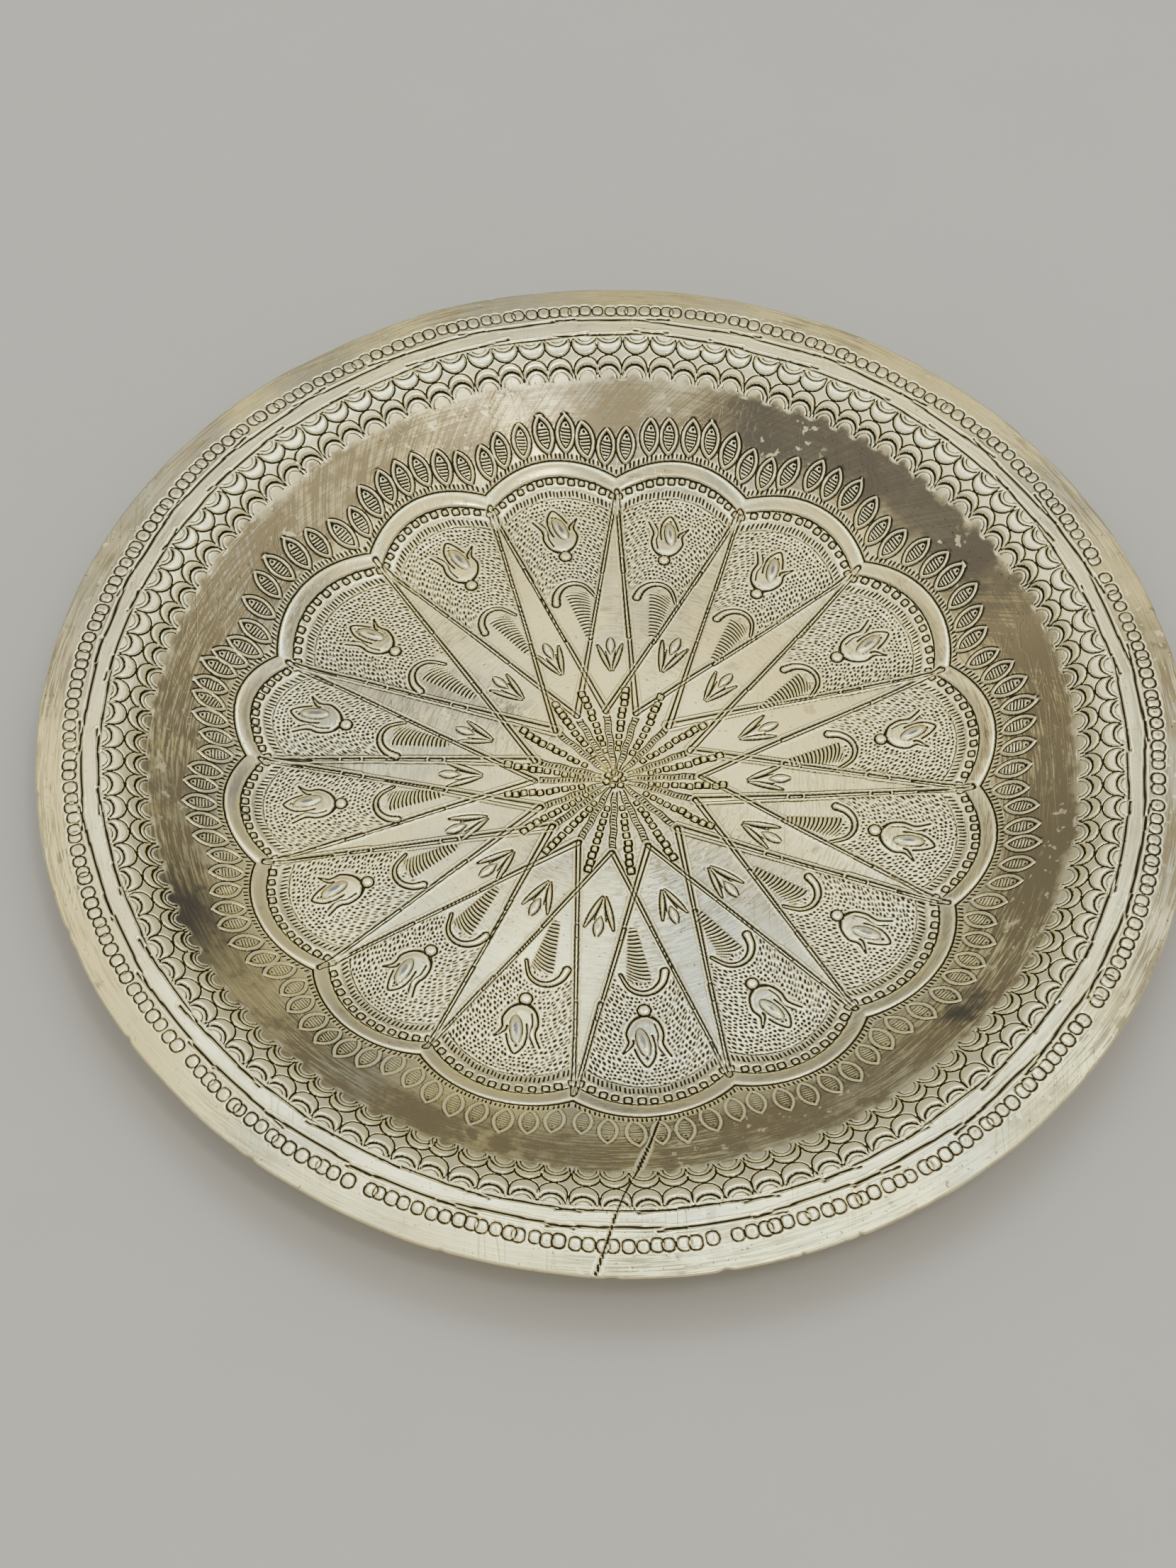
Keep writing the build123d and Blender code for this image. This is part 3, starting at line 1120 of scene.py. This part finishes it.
# Places on the metal, in metres. The browned wall runs between two ragged edges, each given by the
# radius where it is bare and the radius where it is fully browned.
WALL_FOOT = (0.077, 0.086)
WALL_TOP = (0.0950, 0.0925)
RUBBED_FROM = (0.0920, 0.0955)  # the band that hands and cloths rub bright
RUBBED_TO = (0.107, 0.100)
HEART_EDGE = (0.010, 0.002)
DULL_EDGE = (0.1065, 0.112)
SHADED_SIDE = (0.118, 0.018, 0.014)  # the middle of the right side, browned more as painted shade
PAINTED_HIGHLIGHT = (-0.014, 0.082, 0.008)  # the foot of the far wall, kept pale as a painted highlight

# Dark patches on the wall, stains that also paint the shade on its right and lower left: the middle of each
# patch, and where its edge starts and ends.
STAINS_AND_SHADE = (
    ((0.058, 0.068, 0.012), 0.030, 0.050),
    ((-0.086, -0.040, 0.012), 0.000, 0.020),
    ((0.066, -0.058, 0.012), 0.000, 0.006),
)


def away_from(tree, place, middle):
    """Distance from a fixed point."""
    return point_maths(tree, "DISTANCE", {0: place, 1: middle}, "Value")


def tarnish_and_painted_light_mask(tree, place, radius, swirl, clouds, mottle, ragged, on_wall, brush):
    """How browned the metal is: the wall most, the heart a little, and the right side a little more as
    painted shade, all of it broken up by clouds, mottle, spots and the streaks of polishing. One spot at
    the foot of the far wall is left pale as a painted highlight."""
    tarnish_and_painted_light = plus(tree, product(tree, span(tree, radius, *HEART_EDGE), 0.3), on_wall, 0.85)
    tarnish_and_painted_light = plus(tree, tarnish_and_painted_light, span(tree, radius, *DULL_EDGE), 0.1)
    # Painted shade: the right side of the tray is browned more.
    tarnish_and_painted_light = plus(tree, tarnish_and_painted_light, span(tree, away_from(tree, place, SHADED_SIDE), 0.085, 0.02), 0.3)
    tarnish_and_painted_light = plus(tree, tarnish_and_painted_light, span(tree, clouds, 0.43, 0.72, -0.05, 0.42))
    tarnish_and_painted_light = plus(tree, tarnish_and_painted_light, span(tree, mottle, 0.45, 0.75, -0.08, 0.2))
    tarnish_and_painted_light = plus(tree, tarnish_and_painted_light, span(tree, noise(tree, place, 210.0, 2.0, 0.4), 0.66, 0.74), 0.5)
    blotch = span(tree, noise(tree, place, 75.0, 6.0, 0.7), 0.42, 0.6, -0.22, 0.3)
    tarnish_and_painted_light = plus(tree, tarnish_and_painted_light, blotch, on_wall)
    swept = span(tree, noise(tree, swirl, 1500.0, 3.0, 0.6, 0.3), 0.4, 0.62, -0.28, 0.34)
    across = add_node(tree, "SeparateXYZ", {0: place}).outputs[1]
    swept = product(tree, swept, span(tree, across, -0.03, 0.05, 0.15, 1.0))
    tarnish_and_painted_light = plus(tree, tarnish_and_painted_light, swept, on_wall)
    # Painted highlight: the browning is taken off round one spot at the foot of the far wall.
    highlight_distance = plus(tree, away_from(tree, place, PAINTED_HIGHLIGHT), ragged)
    tarnish_and_painted_light = calc(tree, "SUBTRACT", tarnish_and_painted_light, span(tree, highlight_distance, 0.017, 0.002, 0.0, 0.55))
    return add_node(tree, "Clamp", {0: calc(tree, "SUBTRACT", tarnish_and_painted_light, brush)}).outputs[0]


def stain_and_shade_amount(tree, place, ragged):
    """How dark the wall is in ragged patches, stains and painted shade: the strongest of several patches.
    """
    stain_and_shade = 0.0
    for middle, inner_edge, outer_edge in STAINS_AND_SHADE:
        away = plus(tree, away_from(tree, place, middle), ragged)
        stain_and_shade = calc(tree, "MAXIMUM", stain_and_shade, span(tree, away, outer_edge, inner_edge))
    return stain_and_shade


def chased_brass():
    """Old brass: pale where handled, browned on the wall, dark in the cuts, bright on worn edges. Painted
    shade darkens the right side and patches of the wall, and a painted highlight brightens one spot at the
    foot of the far wall.
    """
    finish = bpy.context.scene.tray_finish
    material = bpy.data.materials.new("chased_brass")
    material.use_nodes = True
    tree = material.node_tree
    shader = tree.nodes["Principled BSDF"]
    shader.inputs["Metallic"].default_value = 1.0

    place = add_node(tree, "TexCoord").outputs["Object"]
    cavity, silver = (add_node(tree, "Attribute", attribute_name=name).outputs["Fac"] for name in MASKS)
    rounds = use_group(tree, ring_place_group(), {"Vector": place})
    hollows = use_group(tree, hollows_group(), {"Vector": place, "Cavity": cavity})
    marks = use_group(tree, handling_group(), {"Vector": place, "Round": rounds["Round"]})

    clouds = noise(tree, place, 16.0, 5.0, 0.62, 0.4)
    mottle = noise(tree, place, 120.0, 5.0, 0.65)
    ragged = calc(tree, "MULTIPLY_ADD", calc(tree, "ADD", clouds, mottle), 0.022, -0.022)
    radius = rounds["Radius"]
    strayed = plus(tree, radius, calc(tree, "SUBTRACT", mottle, 0.5), 0.010)
    strayed = plus(tree, strayed, calc(tree, "SUBTRACT", clouds, 0.5), 0.006)
    on_wall = product(tree, span(tree, strayed, *WALL_FOOT), span(tree, strayed, *WALL_TOP))
    tarnish_and_painted_light = tarnish_and_painted_light_mask(tree, place, radius, rounds["Swirl"], clouds, mottle, ragged, on_wall, marks["Brush"])
    # Stains and painted shade on the wall.
    stain_and_shade = product(tree, product(tree, stain_and_shade_amount(tree, place, ragged), on_wall), 0.9)
    greyed = span(tree, noise(tree, place, 13.0, 4.0, 0.62, 0.6), 0.42, 0.64, 0.0, 0.9)
    rubbed = product(tree, span(tree, strayed, *RUBBED_FROM), span(tree, radius, *RUBBED_TO))
    rubbed = product(tree, rubbed, span(tree, mottle, 0.7, 0.4, 0.55, 1.0))
    bright = calc(tree, "MAXIMUM", hollows["Wear"], calc(tree, "MAXIMUM", rubbed, marks["Spatter"]))
    dirt = calc(tree, "MAXIMUM", hollows["Grime"], product(tree, marks["Pits"], 0.5))

    metal = finish.brass
    for mask, coat in (
        (greyed, finish.patina),
        (tarnish_and_painted_light, finish.tarnish_and_shade),
        (stain_and_shade, finish.stain_and_shade_colour),
        (silver, finish.silvery),
        (bright, finish.worn),
        (dirt, finish.grime),
    ):
        metal = blend(tree, mask, metal, coat)
    tree.links.new(metal, shader.inputs["Base Color"])

    rough = calc(tree, "MULTIPLY_ADD", mottle, 0.16, finish.roughness - 0.08)
    for mask, amount in ((tarnish_and_painted_light, 0.04), (dirt, 0.3), (marks["Scratch"], 0.12), (hollows["Wear"], -0.06)):
        rough = plus(tree, rough, mask, amount)
    tree.links.new(rough, shader.inputs["Roughness"])

    bump = add_node(tree, "Bump", {"Height": marks["Height"], "Strength": 0.55, "Distance": 0.00008})
    tree.links.new(bump.outputs[0], shader.inputs["Normal"])
    return material


def floor_paint():
    """A matt pale studio floor with a faint mottle."""
    material = bpy.data.materials.new("floor_paint")
    material.use_nodes = True
    tree = material.node_tree
    shader = tree.nodes["Principled BSDF"]
    place = add_node(tree, "TexCoord").outputs["Object"]
    paint = bpy.context.scene.studio_look.floor
    shade = [0.94 * part for part in paint[:3]] + [1.0]
    tree.links.new(blend(tree, noise(tree, place, 30.0), shade, paint), shader.inputs["Base Color"])
    shader.inputs["Roughness"].default_value = 0.75
    return material


# ---------------------------------------------------------------------------------------------
# Operators
# ---------------------------------------------------------------------------------------------
RINGS = {
    "rosette": (("tray_rosette", 0.0, 17.5, 0.15, 0.17),),
    "star": (("tray_star_inner", 17.5, 34.5, 0.2, 0.205),),
    "panels": (
        ("tray_panels_inner", 34.5, 46.0, 0.19, 0.23),
        ("tray_panels_middle", 46.0, 57.0, 0.23, 0.2),
        ("tray_panels_outer", 57.0, 66.5, 0.22, 0.205),
    ),
    "scallops": (
        ("tray_scallops_inner", 66.5, 73.5, 0.22, 0.19),
        ("tray_scallops_outer", 73.5, 79.5, 0.2, 0.2),
    ),
    "leaves": (("tray_leaves", 79.5, 86.5, 0.165, 0.25),),
    "wall": (("tray_wall", 86.5, 92.6, 0.5, 0.4),),
    "crescents": (
        ("tray_crescents_inner", 92.6, 97.2, 0.2, 0.235),
        ("tray_crescents_outer", 97.2, 102.0, 0.2, 0.235),
    ),
    "brim": (
        ("tray_brim_lines", 102.0, 107.0, 0.25, 0.33),
        ("tray_brim_beads", 107.0, 111.0, 0.22, 0.25),
    ),
    "edge": (("tray_edge", 111.0, TRAY_RADIUS - SHEET_THICKNESS / 2, 0.4, 0.4),),
}


class MakeRing:
    """Shared by the operators that each make one zone of the tray."""

    bl_options = {"REGISTER", "UNDO"}
    zone = ""

    def execute(self, context):
        finish = bpy.data.materials.get("chased_brass") or chased_brass()
        for name, *shape in RINGS[self.zone]:
            build_ring(name, *shape, finish)
        return {"FINISHED"}


class TRAY_OT_rosette(MakeRing, bpy.types.Operator):
    """Make the heart of the tray: ladder strips, pearl rows and the middle cluster"""

    bl_idname = "tray.rosette"
    bl_label = "Rosette"
    zone = "rosette"


class TRAY_OT_star(MakeRing, bpy.types.Operator):
    """Make the inner part of the star, with its seed motifs"""

    bl_idname = "tray.star"
    bl_label = "Star"
    zone = "star"


class TRAY_OT_panels(MakeRing, bpy.types.Operator):
    """Make the sixteen panels with their combs, hooks, tulips and stippled ground"""

    bl_idname = "tray.panels"
    bl_label = "Panels"
    zone = "panels"


class TRAY_OT_scallops(MakeRing, bpy.types.Operator):
    """Make the scalloped border that joins the tips of the star"""

    bl_idname = "tray.scallops"
    bl_label = "Scalloped border"
    zone = "scallops"


class TRAY_OT_leaves(MakeRing, bpy.types.Operator):
    """Make the ring of hatched leaves at the foot of the wall"""

    bl_idname = "tray.leaves"
    bl_label = "Leaf ring"
    zone = "leaves"


class TRAY_OT_wall(MakeRing, bpy.types.Operator):
    """Make the plain sloping wall"""

    bl_idname = "tray.wall"
    bl_label = "Wall"
    zone = "wall"


class TRAY_OT_crescents(MakeRing, bpy.types.Operator):
    """Make the two rows of crescents at the top of the wall"""

    bl_idname = "tray.crescents"
    bl_label = "Crescent band"
    zone = "crescents"


class TRAY_OT_brim(MakeRing, bpy.types.Operator):
    """Make the brim's two cut lines and its ring of beads"""

    bl_idname = "tray.brim"
    bl_label = "Brim"
    zone = "brim"


class TRAY_OT_edge(MakeRing, bpy.types.Operator):
    """Make the plain outer band and the cut edge"""

    bl_idname = "tray.edge"
    bl_label = "Cut edge"
    zone = "edge"


# Light of the room by height: the upward share of the direction, then red, green and blue.
ROOM_SHADES = (
    (0.55, 0.54, 0.54, 0.53),
    (0.67, 0.51, 0.50, 0.48),
    (0.79, 1.62, 1.54, 1.30),
    (0.90, 1.22, 1.18, 1.04),
    (1.00, 0.84, 0.86, 0.85),
)


HORIZON_SHADE = (0.54, 0.55, 0.55, 1.0)

# Lights: name, place, width and depth, share of the key light's power, and tint.
LIGHTS = (
    ("sky_panel", (0.1, 0.5, 1.5), (0.7, 0.4), 0.36, (0.64, 0.88, 1.0)),
    ("window", (0.26, -0.42, 1.3), (0.15, 0.22), 0.22, (1.0, 0.95, 0.80)),
)
LIGHT_TARGET = (0.0, 0.0, 0.01)

CAMERA_PLACE = (-0.00481, -0.33595, 0.5348)
CAMERA_TILT = 31.995
CAMERA_ROLL = -0.092
CAMERA_LENS = 71.77


def light_room(tree, result):
    """Soft light of a room: dim near the horizon, brighter overhead, in steps eased into each other."""
    upward = add_node(tree, "SeparateXYZ", {0: add_node(tree, "TexCoord").outputs["Generated"]}).outputs[2]
    shade = add_node(tree, "ValToRGB", {0: upward}).color_ramp
    shade.elements.remove(shade.elements[1])
    shade.elements[0].position = 0.0
    shade.elements[0].color = HORIZON_SHADE
    for position, *tint in ROOM_SHADES:
        shade.elements.new(position).color = (*tint, 1.0)
    tree.links.new(tree.nodes["Color Ramp"].outputs[0], result)


def add_light(name, location, size, power, tint):
    """A soft rectangular light that faces the tray."""
    data = bpy.data.lights.new(name, "AREA")
    data.shape = "RECTANGLE"
    data.size = size[0]
    data.size_y = size[1]
    data.energy = power
    data.color = tint
    light = bpy.data.objects.new(name, data)
    towards = Matrix.Translation(location).inverted() @ Matrix.Translation(LIGHT_TARGET)
    light.rotation_euler = towards.translation.to_track_quat("-Z", "Y").to_euler()
    light.location = location
    bpy.context.scene.collection.objects.link(light)


class TRAY_OT_stage(bpy.types.Operator):
    """Make the studio: pale floor, soft lights and the camera"""

    bl_idname = "tray.stage"
    bl_label = "Studio"
    bl_options = {"REGISTER", "UNDO"}

    def execute(self, context):
        look = context.scene.studio_look
        half = 3.0
        floor = write_mesh(
            "studio_floor",
            np.array([(-half, -half, 0), (half, -half, 0), (half, half, 0), (-half, half, 0)], float),
            np.array([[0, 1, 2, 3]]),
            np.zeros((0, 3), int),
        )
        floor.data.materials.append(floor_paint())

        world = bpy.data.worlds.new("studio_room")
        world.use_nodes = True
        background = world.node_tree.nodes["Background"]
        light_room(world.node_tree, background.inputs["Color"])
        background.inputs["Strength"].default_value = look.world
        context.scene.world = world

        for name, location, size, share, tint in LIGHTS:
            add_light(name, location, size, share * look.key_power, tint)

        data = bpy.data.cameras.new("camera")
        data.lens = CAMERA_LENS
        data.sensor_width = 36.0
        camera = bpy.data.objects.new("camera", data)
        camera.matrix_world = (
            Matrix.Translation(CAMERA_PLACE)
            @ Matrix.Rotation(math.radians(CAMERA_TILT), 4, "X")
            @ Matrix.Rotation(math.radians(CAMERA_ROLL), 4, "Z")
        )
        context.scene.collection.objects.link(camera)
        context.scene.camera = camera
        return {"FINISHED"}


OPERATORS = (
    TRAY_OT_rosette,
    TRAY_OT_star,
    TRAY_OT_panels,
    TRAY_OT_scallops,
    TRAY_OT_leaves,
    TRAY_OT_wall,
    TRAY_OT_crescents,
    TRAY_OT_brim,
    TRAY_OT_edge,
    TRAY_OT_stage,
)


class TRAY_PT_panel(bpy.types.Panel):
    """The tray's settings and its operators, in the order in which they run"""

    bl_idname = "TRAY_PT_panel"
    bl_label = "Chased brass tray"
    bl_space_type = "VIEW_3D"
    bl_region_type = "UI"
    bl_category = "Tray"

    def draw(self, context):
        for group in (context.scene.tray_sizes, context.scene.tray_finish, context.scene.studio_look):
            for key in group.bl_rna.properties.keys():
                if key not in ("rna_type", "name"):
                    self.layout.prop(group, key)
        for operator in OPERATORS:
            self.layout.operator(operator.bl_idname)


SETTINGS = {"tray_sizes": TraySizes, "tray_finish": TrayFinish, "studio_look": StudioLook}


def register():
    for kind in (*SETTINGS.values(), *OPERATORS, TRAY_PT_panel):
        bpy.utils.register_class(kind)
    for label, kind in SETTINGS.items():
        setattr(bpy.types.Scene, label, bpy.props.PointerProperty(type=kind))


def unregister():
    for label in SETTINGS:
        delattr(bpy.types.Scene, label)
    for kind in reversed((*SETTINGS.values(), *OPERATORS, TRAY_PT_panel)):
        bpy.utils.unregister_class(kind)


def main():
    register()
    for operator in OPERATORS:
        group, name = operator.bl_idname.split(".")
        getattr(getattr(bpy.ops, group), name)()


if __name__ == "__main__":
    main()
